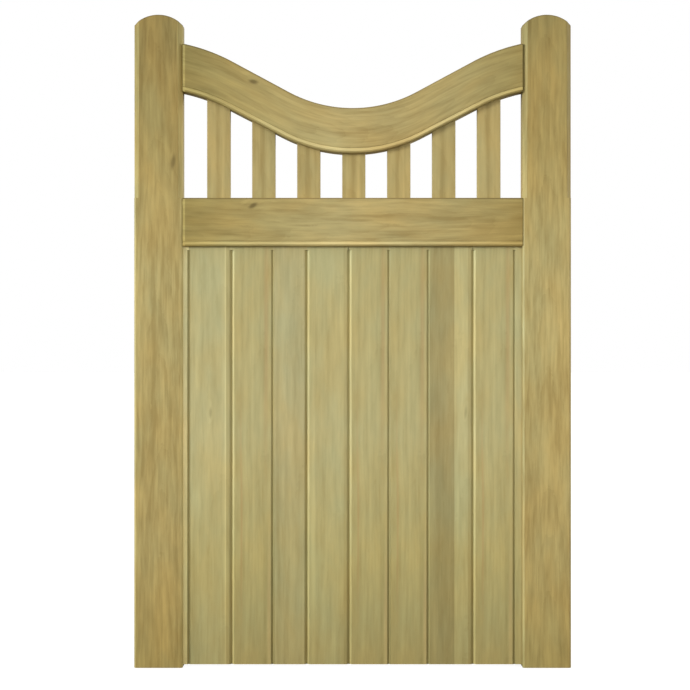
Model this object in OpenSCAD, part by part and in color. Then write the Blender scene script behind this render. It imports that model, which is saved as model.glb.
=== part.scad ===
// Framed, boarded and braced garden gate with a swan-neck top rail.
// Front view is along +Y: X runs across the gate, Y from front (-) to back (+), Z up.
// The origin is under the middle of the gate, at the feet of the stiles.

/* [Frame] */
// Width of the gate over the outer edges of its stiles
gate_w = 900; // [860:10:1000]
// Height of the gate to the crowns of its stiles
gate_h = 1345; // [1330:5:1400]
// Thickness of the stiles, the top rail and the middle rail
frame_t = 45; // [44:1:48]
// Width of each stile
stile_w = 100; // [95:1:105]
// Radius of the rounded stile tops
crown_r = 70; // [62:1:90]
// Chamfer on the front arrises of the stiles, above the middle rail
front_chamfer = 9; // [5:0.5:10]
// The same chamfer below the top of the middle rail, where it is narrower
low_chamfer = 3.5; // [2:0.5:5]
// Chamfer on the back arrises of the stiles
back_chamfer = 3; // [2:0.5:5]

/* [Top rail, upper edge] */
// Drop from the stile crowns to the bottom of the dip
dip_drop = 192; // [180:1:200]
// Radius of the dip
dip_r = 278; // [270:1:290]
// Slope of the straight run between the two curves, in degrees
dip_slope = 28.3; // [27:0.1:29]
// Length of that straight run
dip_straight = 131; // [125:1:135]
// Radius of the shoulder that runs into the stile
dip_shoulder_r = 380; // [370:1:400]

/* [Top rail, lower edge] */
// Depth of the top rail at the bottom of the dip
dip_depth = 93; // [85:1:100]
// Radius of the belly
belly_r = 316; // [305:1:325]
// Slope of the straight run between the two curves, in degrees
belly_slope = 27.3; // [26:0.1:28]
// Length of that straight run
belly_straight = 130; // [125:1:135]
// Radius of the shoulder that runs into the stile
belly_shoulder_r = 364; // [355:1:380]

/* [Middle and bottom rails] */
// Height of the underside of the middle rail
middle_rail_z = 868; // [850:1:880]
// Depth of the middle rail
middle_rail_d = 100; // [94:1:104]
// Height of the underside of the bottom rail
bottom_rail_z = 30; // [20:1:50]
// Depth of the bottom rail
bottom_rail_d = 120; // [115:1:140]
// Height of the bead along the lower front edge of the top and middle rails
bead_h = 9; // [8:0.5:11]
// Width of the small groove, the quirk, above that bead
quirk_w = 2; // [1.5:0.25:2.5]
// Depth of the quirk
quirk_d = 3; // [2:0.5:4]

/* [Pales] */
// Number of pales
pale_count = 7; // [5:1:7]
// Width of a pale
pale_w = 48; // [44:1:50]
// Thickness of a pale
pale_t = 21; // [18:1:24]
// Distance from pale to pale
pale_pitch = 93; // [92:0.5:94]
// Offset of the row of pales towards the closing stile
pale_offset = 2.5; // [0:0.5:3]
// Depth to which the pales are housed in the rails
housing = 15; // [12:1:18]

/* [Boards] */
// Thickness of the boards
board_t = 15; // [14:0.5:16]
// Height of the lower ends of the boards
board_z = 6; // [3:1:15]
// Depth of the grooves that hold the boards in the frame
frame_groove = 12; // [10:1:13]
// Chamfer on each side of a V joint
vee = 3.5; // [3:0.25:4]
// Chamfer on each side of a wide V joint
wide_vee = 5; // [4:0.25:6]
// Length below the middle rail where the boards' faces are left plain, above the V joints
vee_stop = 7; // [5:0.5:10]
// Length of a tongue
tongue_l = 6; // [5.5:0.25:7]
// Thickness of a tongue
tongue_t = 5; // [4.5:0.25:5.5]

/* [Brace] */
// Width of the diagonal brace
brace_w = 95; // [90:1:100]

/* [Joints] */
// Thickness of the tenons
tenon_t = 15; // [14:1:16]
// Length of a wedge
wedge_l = 60; // [50:1:70]
// Height of the thick end of a wedge
wedge_h = 7; // [5:0.5:8]
// Length of a screw
screw_l = 30; // [28:1:32]
// Diameter of a screw's shank
screw_d = 4; // [3.5:0.5:4.5]

/* [Hidden] */
$fn = 96;
far = 2000;
timber = "#b2a069";
board_timber = "#b6ab77";
wedge_timber = "#a8925c";
steel = "#b9b9b4";

front_y = -frame_t / 2;
back_y = frame_t / 2;
opening_w = gate_w - 2 * stile_w;
opening_x = opening_w / 2;
stile_x = opening_x + stile_w / 2;

// The boards lie in a plane between the frame's front face and the rails behind them.
board_back_y = 2.5;
board_front_y = board_back_y - board_t;
board_top_z = middle_rail_z + frame_groove;
vee_top_z = middle_rail_z - vee_stop;
rail_back_t = back_y - board_back_y;

// Each board's share of the opening, from the hanging stile to the closing stile.
// The two end boards are ripped down to fit.
board_shares = [12, 89, 84, 71, 87, 82, 81, 93, 85, 16];
board_count = len(board_shares);
share_sum = running(board_shares, board_count);
// Joints with the wide V, counted from the hanging stile
wide_joints = [2, 4, 5, 8];
// Room left at the bottom of a groove, and how far a tongue lies behind the board's face
tongue_room = 0.5;
tongue_set = 7;
tongue_y = board_front_y + tongue_set;

// Height of each edge of the top rail at the middle of the gate
dip_z = gate_h - dip_drop;
belly_z = dip_z - dip_depth;
// Both edges: [height at the middle, valley radius, slope, straight run, shoulder radius]
upper_edge = [dip_z, dip_r, dip_slope, dip_straight, dip_shoulder_r];
lower_edge = [belly_z, belly_r, belly_slope, belly_straight, belly_shoulder_r];

// Tenons pass right through the stiles: [lower end, height, front face]
tenon_inset = 15;
top_tenon = [
    end_z(lower_edge) + tenon_inset,
    end_z(upper_edge) - end_z(lower_edge) - 2 * tenon_inset,
    -tenon_t / 2
];
middle_tenon = [middle_rail_z + tenon_inset, middle_rail_d - 2 * tenon_inset, -tenon_t / 2];
bottom_tenon = [bottom_rail_z + tenon_inset, bottom_rail_d - 2 * tenon_inset, board_back_y];
wedge_tip = 1;

// Countersunk screws
head_r = 4;
head_l = 2.5;
point_l = 5;
screw_inset = 30;
rail_screw_z = [bottom_rail_z + screw_inset, bottom_rail_z + bottom_rail_d - screw_inset];

brace_low = [-opening_x, bottom_rail_z + bottom_rail_d];
brace_high = [opening_x, middle_rail_z];

// Sum of the first n entries of a list
function running(list, n) = n == 0 ? 0 : list[n - 1] + running(list, n - 1);

// Distance across the gate to the joint after board n; n = 0 is the hanging stile's edge
function joint_x(n) = -opening_x + opening_w * running(board_shares, n) / share_sum;

// Chamfer beside joint n
function joint_vee(n) = len(search(n, wide_joints)) > 0 ? wide_vee : vee;

// Middle of the visible face of board n
function board_x(n) = (joint_x(n - 1) + joint_x(n)) / 2;

function pale_x(n) = (n - (pale_count + 1) / 2) * pale_pitch + pale_offset;

// Height of the brace's centre line at a distance across the gate
function brace_z(x) = brace_low[1]
    + (x - brace_low[0]) * (brace_high[1] - brace_low[1]) / (brace_high[0] - brace_low[0]);

// Turns a front elevation, drawn in X and Z, into a solid from y0 back to y1.
module slab(y0, y1) {
    translate([0, y1, 0])
        rotate([90, 0, 0])
            linear_extrude(y1 - y0)
                children();
}

// Points of the right half of a swan-neck edge: where its valley ends, where its shoulder
// starts, the middle of the shoulder's circle, and the edge's height at the stile.
function valley_end(edge) =
    [edge[1] * sin(edge[2]), edge[0] + edge[1] * (1 - cos(edge[2]))];
function shoulder_start(edge) = valley_end(edge) + edge[3] * [cos(edge[2]), sin(edge[2])];
function shoulder_centre(edge) = shoulder_start(edge) + edge[4] * [sin(edge[2]), -cos(edge[2])];
function shoulder_reach(edge) = asin((shoulder_centre(edge)[0] - opening_x) / edge[4]);
function end_z(edge) = shoulder_centre(edge)[1] + edge[4] * cos(shoulder_reach(edge));

// Everything below a swan-neck edge, a little wider than the opening
module below_edge(edge) {
    depth = 150;
    floor_z = edge[0] - depth;
    a = valley_end(edge);
    b = shoulder_start(edge);
    for (side = [0, 1])
        mirror([side, 0]) {
            difference() {
                polygon([[0, floor_z], [b[0], floor_z], b, a, [0, a[1]]]);
                translate([0, edge[0] + edge[1]])
                    circle(edge[1], $fn = 360);
            }
            intersection() {
                translate(shoulder_centre(edge))
                    circle(edge[4], $fn = 360);
                translate([b[0], floor_z])
                    square([opening_x + 5 - b[0], 3 * depth]);
            }
        }
}

// Front elevation of the top rail between the stiles
module swan_neck() {
    intersection() {
        difference() {
            below_edge(upper_edge);
            below_edge(lower_edge);
        }
        translate([-opening_x, 0])
            square([opening_w, gate_h]);
    }
}

// The same edge moved up square to itself
function raised(edge, by) = [edge[0] + by, edge[1] - by, edge[2], edge[3], edge[4] + by];

// The quirk that sets off the bead along the top rail's lower front edge
module swan_quirk() {
    slab(front_y - 1, front_y + quirk_d)
        difference() {
            below_edge(raised(lower_edge, bead_h + quirk_w));
            below_edge(raised(lower_edge, bead_h));
        }
}

// Outline of a tapered wedge that drives in from the outer edge of the right-hand stile,
// with its flat side on the tenon and its slope upwards.
module wedge_outline(z) {
    x = gate_w / 2;
    polygon([[x, z], [x, z + wedge_h], [x - wedge_l, z + wedge_tip], [x - wedge_l, z]]);
}

// Both wedges of one tenon, or one of them
module wedge_pair(tenon, lower, upper) {
    slab(tenon[2], tenon[2] + tenon_t) {
        if (upper)
            wedge_outline(tenon[0] + tenon[1]);
        if (lower)
            translate([0, tenon[0]])
                mirror([0, 1])
                    wedge_outline(0);
    }
}

// Right-hand tenon, from the shoulder to the outer edge of the stile
module tenon(t) {
    translate([opening_x, t[2], t[0]])
        cube([stile_w, tenon_t, t[1]]);
}

// A rail's two tenons, joined to its body
module with_tenons(t) {
    children();
    for (side = [0, 1])
        mirror([side, 0, 0])
            tenon(t);
}

// Countersunk screw with its head's face at the origin, pointing towards -Y
module screw() {
    rotate([90, 0, 0])
        rotate_extrude($fn = 24)
            polygon([
                [0, 0], [head_r, 0], [screw_d / 2, head_l],
                [screw_d / 2, screw_l - point_l], [0, screw_l]
            ]);
}

module at_rail_screws() {
    for (n = [2:board_count - 1], z = rail_screw_z)
        translate([board_x(n), back_y, z])
            children();
}

module at_brace_screws() {
    for (n = [2:board_count - 1])
        translate([board_x(n), back_y, brace_z(board_x(n))])
            children();
}

// Prism that cuts a board's front corner back at 45 degrees and stops below the middle rail
module vee_cut(x, size) {
    translate([x, board_front_y, board_z - 1])
        rotate(45)
            linear_extrude(vee_top_z - board_z + 1)
                square(size * sqrt(2), center = true);
}

module board_outline(n) {
    left = n == 1 ? -opening_x - frame_groove : joint_x(n - 1);
    right = n == board_count ? opening_x + frame_groove : joint_x(n);
    difference() {
        union() {
            translate([left, board_front_y])
                square([right - left, board_t]);
            if (n < board_count)
                translate([right - 1, tongue_y])
                    square([tongue_l + 1 - tongue_room, tongue_t]);
        }
        if (n > 1)
            translate([left - 1, tongue_y])
                square([tongue_l + 1, tongue_t]);
    }
}

module board(n) {
    color(board_timber)
        difference() {
            translate([0, 0, board_z])
                linear_extrude(board_top_z - board_z)
                    board_outline(n);
            if (n > 1)
                vee_cut(joint_x(n - 1), joint_vee(n - 1));
            if (n < board_count)
                vee_cut(joint_x(n), joint_vee(n));
            at_rail_screws()
                screw();
            at_brace_screws()
                screw();
        }
}

// Front elevation of a pale: its top follows the rail, and both ends stand in housings.
module pale_elevation(n) {
    foot_z = middle_rail_z + middle_rail_d - housing;
    intersection() {
        translate([pale_x(n) - pale_w / 2, foot_z])
            square([pale_w, far]);
        union() {
            translate([0, housing])
                below_edge(lower_edge);
            translate([-opening_x, 0])
                square([opening_w, belly_z]);
        }
    }
}

module pale(n) {
    color(timber)
        slab(-pale_t / 2, pale_t / 2)
            pale_elevation(n);
}

// Slot for the boards in the underside of the middle rail and the inner edges of the stiles
module board_groove() {
    translate([-opening_x - frame_groove, board_front_y, -1])
        cube([opening_w + 2 * frame_groove, board_t, board_top_z + 1]);
}

// Prism that widens the chamfer of a front arris at x, above the middle rail
module upper_chamfer(x) {
    translate([x, front_y, middle_rail_z + middle_rail_d])
        rotate(45)
            linear_extrude(gate_h)
                square(front_chamfer * sqrt(2), center = true);
}

// Right-hand stile
module stile() {
    x0 = opening_x;
    x1 = gate_w / 2;
    f = low_chamfer;
    b = back_chamfer;
    difference() {
        intersection() {
            linear_extrude(gate_h)
                polygon([
                    [x0, front_y + f], [x0 + f, front_y], [x1 - f, front_y], [x1, front_y + f],
                    [x1, back_y - b], [x1 - b, back_y], [x0 + b, back_y], [x0, back_y - b]
                ]);
            slab(front_y, back_y)
                union() {
                    translate([x0, 0])
                        square([stile_w, gate_h - crown_r]);
                    intersection() {
                        translate([stile_x, gate_h - crown_r])
                            circle(crown_r);
                        translate([x0, gate_h - crown_r - 1])
                            square([stile_w, crown_r + 2]);
                    }
                }
        }
        upper_chamfer(x0);
        upper_chamfer(x1);
        board_groove();
        for (t = [top_tenon, middle_tenon, bottom_tenon]) {
            tenon(t);
            wedge_pair(t, true, true);
        }
    }
}

module stile_right() {
    color(timber)
        stile();
}

module stile_left() {
    color(timber)
        mirror([1, 0, 0])
            stile();
}

module top_rail() {
    color(timber)
        difference() {
            with_tenons(top_tenon)
                slab(front_y, back_y)
                    swan_neck();
            for (n = [1:pale_count])
                pale(n);
            swan_quirk();
        }
}

module middle_rail() {
    color(timber)
        difference() {
            with_tenons(middle_tenon)
                translate([-opening_x, front_y, middle_rail_z])
                    cube([opening_w, frame_t, middle_rail_d]);
            for (n = [1:pale_count])
                pale(n);
            board_groove();
            translate([-opening_x - 1, front_y - 1, middle_rail_z + bead_h])
                cube([opening_w + 2, quirk_d + 1, quirk_w]);
        }
}

module bottom_rail() {
    color(timber)
        difference() {
            with_tenons(bottom_tenon)
                translate([-opening_x, board_back_y, bottom_rail_z])
                    cube([opening_w, rail_back_t, bottom_rail_d]);
            at_rail_screws()
                screw();
        }
}

module brace() {
    run = brace_high - brace_low;
    color(timber)
        difference() {
            slab(board_back_y, back_y)
                intersection() {
                    translate(brace_low)
                        square(run);
                    translate(brace_low)
                        rotate(atan2(run[1], run[0]))
                            translate([-brace_w, -brace_w / 2])
                                square([norm(run) + 2 * brace_w, brace_w]);
                }
            at_brace_screws()
                screw();
        }
}

// One wedge; rail, side and end are the words in its node's name.
module wedge(rail, side, end) {
    t = rail == "top" ? top_tenon : rail == "middle" ? middle_tenon : bottom_tenon;
    color(wedge_timber)
        mirror([side == "left" ? 1 : 0, 0, 0])
            wedge_pair(t, end == "lower", end == "upper");
}

module bottom_rail_screws() {
    color(steel)
        at_rail_screws()
            screw();
}

module brace_screws() {
    color(steel)
        at_brace_screws()
            screw();
}

stile_left();
stile_right();
top_rail();
middle_rail();
bottom_rail();
brace();
for (n = [1:pale_count])
    pale(n);
for (n = [1:board_count])
    board(n);
for (rail = ["top", "middle", "bottom"], side = ["left", "right"], end = ["lower", "upper"])
    wedge(rail, side, end);
bottom_rail_screws();
brace_screws();
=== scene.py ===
# %% [markdown]
# # A garden gate in treated softwood
# The gate is one leaf: two stiles, a top rail cut to a swan neck, a middle rail, seven pales in
# the open part, ten V-jointed boards below, and a rail and a brace behind the boards. The CAD
# model already gives every timber its true size and joints. This lesson gives each one what a
# joiner's tools and the weather would: eased arrises, a run bead, grain that follows the
# timber, knots, and the green-gold tint of pressure treatment.

import math

import bmesh
import bpy
from mathutils import Matrix, Vector


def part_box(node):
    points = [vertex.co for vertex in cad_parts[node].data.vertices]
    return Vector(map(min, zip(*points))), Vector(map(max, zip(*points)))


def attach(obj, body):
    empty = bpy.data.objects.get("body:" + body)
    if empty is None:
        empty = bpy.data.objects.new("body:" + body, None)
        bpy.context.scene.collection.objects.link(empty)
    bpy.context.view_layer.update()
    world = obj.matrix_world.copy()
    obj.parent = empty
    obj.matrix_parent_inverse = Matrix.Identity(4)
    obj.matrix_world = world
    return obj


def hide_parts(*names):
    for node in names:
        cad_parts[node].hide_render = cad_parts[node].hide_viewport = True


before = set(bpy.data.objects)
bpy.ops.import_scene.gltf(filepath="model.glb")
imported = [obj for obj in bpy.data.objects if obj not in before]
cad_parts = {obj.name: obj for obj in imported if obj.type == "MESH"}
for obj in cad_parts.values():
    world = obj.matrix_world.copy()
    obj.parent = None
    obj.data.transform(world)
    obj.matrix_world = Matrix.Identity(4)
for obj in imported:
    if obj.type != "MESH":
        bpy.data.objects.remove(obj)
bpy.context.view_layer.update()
scene = bpy.context.scene
MM = 0.001

# %% [markdown]
# ## Camera
# A gate is shown straight on, from a little under half its height and a few metres away, so
# that its stiles stay upright and parallel. A long lens keeps the far side of each timber
# almost hidden. The camera stands level, so it needs no shift.

# %% Camera
camera = bpy.data.objects.new("camera", bpy.data.cameras.new("camera"))
camera.data.sensor_width = 36
camera.data.lens = 96.25
camera.location = (-0.0157, -3.82, 0.665)
camera.rotation_euler = (math.radians(90), 0, 0)
scene.collection.objects.link(camera)
scene.camera = camera
print("lens", camera.data.lens, "mm")

# %% [markdown]
# ## One way to add a shader node
# Every material, the floor and the sky are node trees. A single helper makes a node, sets its
# properties, fills its sockets and links it, so that each line below reads as one step of the
# recipe. Colours are written as the hex values a painter would pick, and are turned to the
# linear values that a renderer mixes.


# %% Helpers for node trees
def add(tree, kind, inputs=None, **settings):
    """Adds a node; inputs maps a socket to a value or to the output that feeds it."""
    node = tree.nodes.new(kind)
    for name, value in settings.items():
        setattr(node, name, value)
    for socket, value in (inputs or {}).items():
        if isinstance(value, bpy.types.NodeSocket):
            tree.links.new(value, node.inputs[socket])
        else:
            node.inputs[socket].default_value = value
    return node


def linear(colour):
    """The linear RGBA of an sRGB hex colour."""
    channels = [int(colour[i : i + 2], 16) / 255 for i in (1, 3, 5)]
    return [c / 12.92 if c <= 0.04045 else ((c + 0.055) / 1.055) ** 2.4 for c in channels] + [1]


def fill_ramp(node, stops):
    """Sets a colour ramp's stops from (position, colour) pairs."""
    elements = node.color_ramp.elements
    while len(elements) < len(stops):
        elements.new(1)
    for element, (position, colour) in zip(elements, stops):
        element.position = position
        element.color = linear(colour) if isinstance(colour, str) else (*colour, 1)
    return node


print("mid grey is", round(linear("#808080")[0], 3), "in linear light")

# %% [markdown]
# ## Light and floor
# A plain studio: a dome of even light with a bright band along the horizon, and one soft key
# light from the left and a little above, which makes every left-hand chamfer light and every
# right-hand one dark. A weak fill light from the front right keeps that dark soft, and a rim
# light from behind picks out the inner edge of the left stile. The ground half of the dome is
# dim, so the undersides of the rails stay dark and draw the mouldings. The floor is a pale
# sheet that the gate's own light rays pass through, so it stays near white without throwing
# its light up at the timber.

# %% Sky and lights
world = bpy.data.worlds.new("studio")
scene.world = world
world.use_nodes = True
tree = world.node_tree
tree.nodes.clear()
direction = add(tree, "ShaderNodeTexCoord").outputs["Generated"]
height = add(tree, "ShaderNodeSeparateXYZ", {0: direction}).outputs["Z"]
share = add(tree, "ShaderNodeMapRange", {"Value": height, "From Min": -1, "From Max": 1})
dome = add(tree, "ShaderNodeValToRGB", {"Fac": share.outputs["Result"]})
GROUND, HORIZON, DOME = (0.22, 0.21, 0.19), (1.0, 1.0, 1.0), (0.64, 0.64, 0.64)
fill_ramp(dome, [(0.455, GROUND), (0.48, HORIZON), (0.60, HORIZON), (0.66, DOME)])
background = add(tree, "ShaderNodeBackground", {"Color": dome.outputs["Color"]})
add(tree, "ShaderNodeOutputWorld", {"Surface": background.outputs[0]})


def sun(name, turn, height, strength, softness):
    """A distant light; turn is its bearing and height its angle up, both in degrees."""
    turn, height = math.radians(turn), math.radians(height)
    towards = Vector(
        (math.sin(turn) * math.cos(height), -math.cos(turn) * math.cos(height), math.sin(height))
    )
    light = bpy.data.objects.new(name, bpy.data.lights.new(name, "SUN"))
    light.data.energy = strength
    light.data.angle = math.radians(softness)
    light.rotation_euler = towards.to_track_quat("Z", "Y").to_euler()
    scene.collection.objects.link(light)
    print(name, "light from", [round(x, 2) for x in towards])


sun("key", turn=-54, height=14, strength=1.75, softness=18)
sun("fill", turn=25, height=10, strength=0.55, softness=30)
sun("rim", turn=125, height=9, strength=1.2, softness=12)

# %% Floor
FLOOR_HALF = 40
floor_paint = bpy.data.materials.new("matt_white_floor")
floor_paint.use_nodes = True
paint = floor_paint.node_tree.nodes["Principled BSDF"]
paint.inputs["Base Color"].default_value = linear("#8c8c8a")
paint.inputs["Roughness"].default_value = 0.9
paint.inputs["Emission Color"].default_value = linear("#ffffff")
paint.inputs["Emission Strength"].default_value = 0.86
bm = bmesh.new()
bmesh.ops.create_grid(bm, x_segments=1, y_segments=1, size=FLOOR_HALF)
floor_mesh = bpy.data.meshes.new("floor")
bm.to_mesh(floor_mesh)
bm.free()
floor_mesh.materials.append(floor_paint)
floor = bpy.data.objects.new("floor", floor_mesh)
floor.visible_diffuse = False
floor.visible_glossy = False
scene.collection.objects.link(floor)
scene.view_settings.view_transform = "Standard"
print("floor", 2 * FLOOR_HALF, "metres across")

# %% [markdown]
# ## Treated softwood
# Redwood pine that has been planed and then pressure treated: pale earlywood, thin darker
# latewood at the end of each year's ring, fine fibres, and a green-gold tint that is deepest
# at the ends, where the fluid soaks in. A flat picture of grain would smear over the edges of
# a timber, so the pattern is solid: rings round a pith line that lies outside the timber and
# leans a little, as it does in a real log. The same pattern then shows long flames on a face
# and curved rings on a sawn end. Each timber carries its own grain coordinates in metres,
# across, through and along the grain, so that a rail's grain runs sideways and the swan
# neck's follows its curve. A second value, its place in one long row of logs, gives each
# timber its own bends, blots, knots and streaks.

# %% Logs
# Each timber's place in the row, in metres
LOG = {
    "left stile": 0.0,
    "right stile": 1.9,
    "top rail": 3.0,
    "middle rail": 4.6,
    "pale": 6.0,
    "sap plank": 9.0,
    "pink plank": 10.0,
    "grey plank": 11.0,
    "green plank": 12.0,
    "heart plank": 13.0,
    "bottom rail": 15.0,
    "brace": 16.0,
    "wedge": 18.0,
}
print(len(LOG), "logs and planks")

# %% [markdown]
# ## Knots, streaks and bends
# Knots, streaks of early or late growth, and pinker stripes are all long patches with soft
# rims, so one helper makes them. A tree never grows quite straight either, and slow bends in
# the trunk move its rings, and everything else in the wood, a few millimetres sideways.


# %% Helpers for wood
def soft_patch(tree, where, spot, amount, core=0.0):
    """A long soft patch in the wood: amount within its core, fading to nothing at its rim.

    spot is (log, across, along, half its width, half its length, lean); sizes are in mm, and
    lean is the angle that the patch makes with the grain, in degrees.
    """
    log, across, along, half_w, half_l, lean = spot
    inside = add(
        tree,
        "ShaderNodeMapping",
        {
            "Vector": where,
            "Location": (LOG[log] + across * MM, 0, along * MM),
            "Rotation": (0, math.radians(lean), 0),
            "Scale": (half_w * MM, 1, half_l * MM),
        },
        vector_type="TEXTURE",
    )
    reach = add(tree, "ShaderNodeVectorMath", {0: inside.outputs[0]}, operation="LENGTH")
    ranges = {"From Min": core, "From Max": 1.0, "To Min": amount, "To Max": 0.0}
    fade = {"Value": reach.outputs["Value"], **ranges}
    return add(tree, "ShaderNodeMapRange", fade, interpolation_type="SMOOTHSTEP").outputs[0]


def total(tree, values, start=0.0):
    """The sum of some outputs."""
    for value in values:
        start = add(tree, "ShaderNodeMath", {0: value, 1: start}, operation="ADD").outputs[0]
    return start


BENDS_PER_METRE = (12, 12, 3)


def bent(tree, grain, in_log, warp):
    """The same two places, moved by the trunk's slow bends; warp is their size in mm."""
    scaled = {0: in_log, 1: BENDS_PER_METRE}
    stretched = add(tree, "ShaderNodeVectorMath", scaled, operation="MULTIPLY").outputs[0]
    bends = add(tree, "ShaderNodeTexNoise", {"Vector": stretched, "Scale": 1, "Detail": 3})
    middle = {0: bends.outputs["Color"], 1: (0.5,) * 3}
    centred = add(tree, "ShaderNodeVectorMath", middle, operation="SUBTRACT").outputs[0]
    # The noise seldom strays more than a quarter from its middle, so four times it fills warp.
    sway = (warp * 4 * MM, warp * 4 * MM, 0)
    shifts = [{0: centred, 1: sway, 2: start} for start in (grain, in_log)]
    return [
        add(tree, "ShaderNodeVectorMath", shift, operation="MULTIPLY_ADD").outputs[0]
        for shift in shifts
    ]


print("bends in a metre, across, through and along:", BENDS_PER_METRE)

# %% [markdown]
# ## Growth rings
# A year's ring starts with soft, pale earlywood and ends with hard, dark latewood, and then
# the next spring starts pale at once. A saw-tooth wave round the pith does the same: it darkens
# slowly towards the latewood and then drops back. Knots push the rings aside, which the
# wave takes as a shift of its phase.


# %% Growth rings
def growth_rings(tree, moved, pith, lean, ring, swirl):
    """How far a point is towards the latewood, from 0 to 1."""
    about_pith = add(
        tree,
        "ShaderNodeMapping",
        {
            "Vector": moved,
            "Location": (-pith[0] * MM, -pith[1] * MM, 0),
            "Rotation": (math.radians(lean[0]), math.radians(lean[1]), 0),
        },
    )
    rings = add(
        tree,
        "ShaderNodeTexWave",
        {
            "Vector": about_pith.outputs[0],
            "Scale": 0.314 / (ring * MM),
            "Distortion": 1.2,
            "Detail": 2,
            "Detail Scale": 1.5,
            "Phase Offset": swirl,
        },
        wave_type="RINGS",
        rings_direction="Z",
        wave_profile="SAW",
    ).outputs["Fac"]
    return add(tree, "ShaderNodeMath", {0: rings, 1: 2.2}, operation="POWER").outputs[0]


print("growth rings follow the pith")

# %% [markdown]
# ## Fibres, flecks, bands and blots
# Four layers of stretched noise draw the finer figure. Fibres are drawn 4 mm wide, where real
# ones are far finer, so that they show at this distance. Flecks are 8 mm wide and 65 mm long.
# Bands and blots are the broad stretches where the tree grew faster or where the timber took
# up more of the treatment. The last layer's second channel tells where the treatment looks
# greener or browner.

# %% Figure
# How often each layer changes in a metre, across, through and along the grain
LAYERS = {
    "fibres": (230, 230, 8),
    "flecks": (120, 120, 15),
    "bands": (38, 38, 2),
    "blots": (14, 14, 6),
}
# How strongly each layer shows
WEIGHTS = {"fibres": 0.8, "flecks": 1.15, "bands": 1.2, "blots": 0.8}
LATEWOOD_WEIGHT, LATEWOOD_MIDDLE = -0.15, 0.33
DARK_WOOD, MIDDLE_WOOD, LIGHT_WOOD = (0.40, 0.385, 0.35), (0.5, 0.5, 0.5), (0.60, 0.605, 0.62)
GREENER, BROWNER = (0.475, 0.5, 0.525), (0.525, 0.5, 0.46)


def layered_noise(tree, where):
    """Each layer's value, and a factor that turns the colour greener or browner."""
    noise = {}
    for layer, scale in LAYERS.items():
        stretched = add(tree, "ShaderNodeVectorMath", {0: where, 1: scale}, operation="MULTIPLY")
        settings = {"Vector": stretched.outputs[0], "Scale": 1, "Detail": 3, "Roughness": 0.55}
        pattern = add(tree, "ShaderNodeTexNoise", settings)
        noise[layer] = pattern.outputs["Fac"]
    second = add(tree, "ShaderNodeSeparateColor", {0: pattern.outputs["Color"]}).outputs["Green"]
    hue = add(tree, "ShaderNodeValToRGB", {"Fac": second})
    fill_ramp(hue, [(0.35, GREENER), (0.65, BROWNER)])
    return noise, hue.outputs["Color"]


def light_and_dark(tree, start, latewood, noise, figure):
    """A factor from the rings and the layers, added up on top of a starting value."""
    shares = [(latewood, LATEWOOD_WEIGHT, LATEWOOD_MIDDLE)]
    shares += [(noise[layer], weight, 0.5) for layer, weight in WEIGHTS.items()]
    figure_sum = start
    for source, weight, middle in shares:
        offset = add(tree, "ShaderNodeMath", {0: source, 1: middle}, operation="SUBTRACT")
        figure_sum = add(
            tree,
            "ShaderNodeMath",
            {0: offset.outputs[0], 1: weight * figure, 2: figure_sum},
            operation="MULTIPLY_ADD",
        ).outputs[0]
    shade = add(tree, "ShaderNodeValToRGB", {"Fac": figure_sum})
    fill_ramp(shade, [(0.0, DARK_WOOD), (0.5, MIDDLE_WOOD), (1.0, LIGHT_WOOD)])
    return shade.outputs["Color"]


print("the figure has", len(LAYERS), "layers")

# %% [markdown]
# ## The softwood recipe
# The colour is the tone for this part of the timber's length, times the figure, the hue and
# the tint laid on its faces, which on some faces is painted light and shade, and then any
# pinker stripes and the knots. Figure and hue are centred on half, so that each can lighten as
# well as darken, and the product is scaled back up by four. Latewood is harder and stands a
# little proud after planing and rain, which is the bump.

# %% The softwood recipe
PINK_STRIPE, KNOT_HEART = "#c39c68", "#5f4f28"


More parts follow.
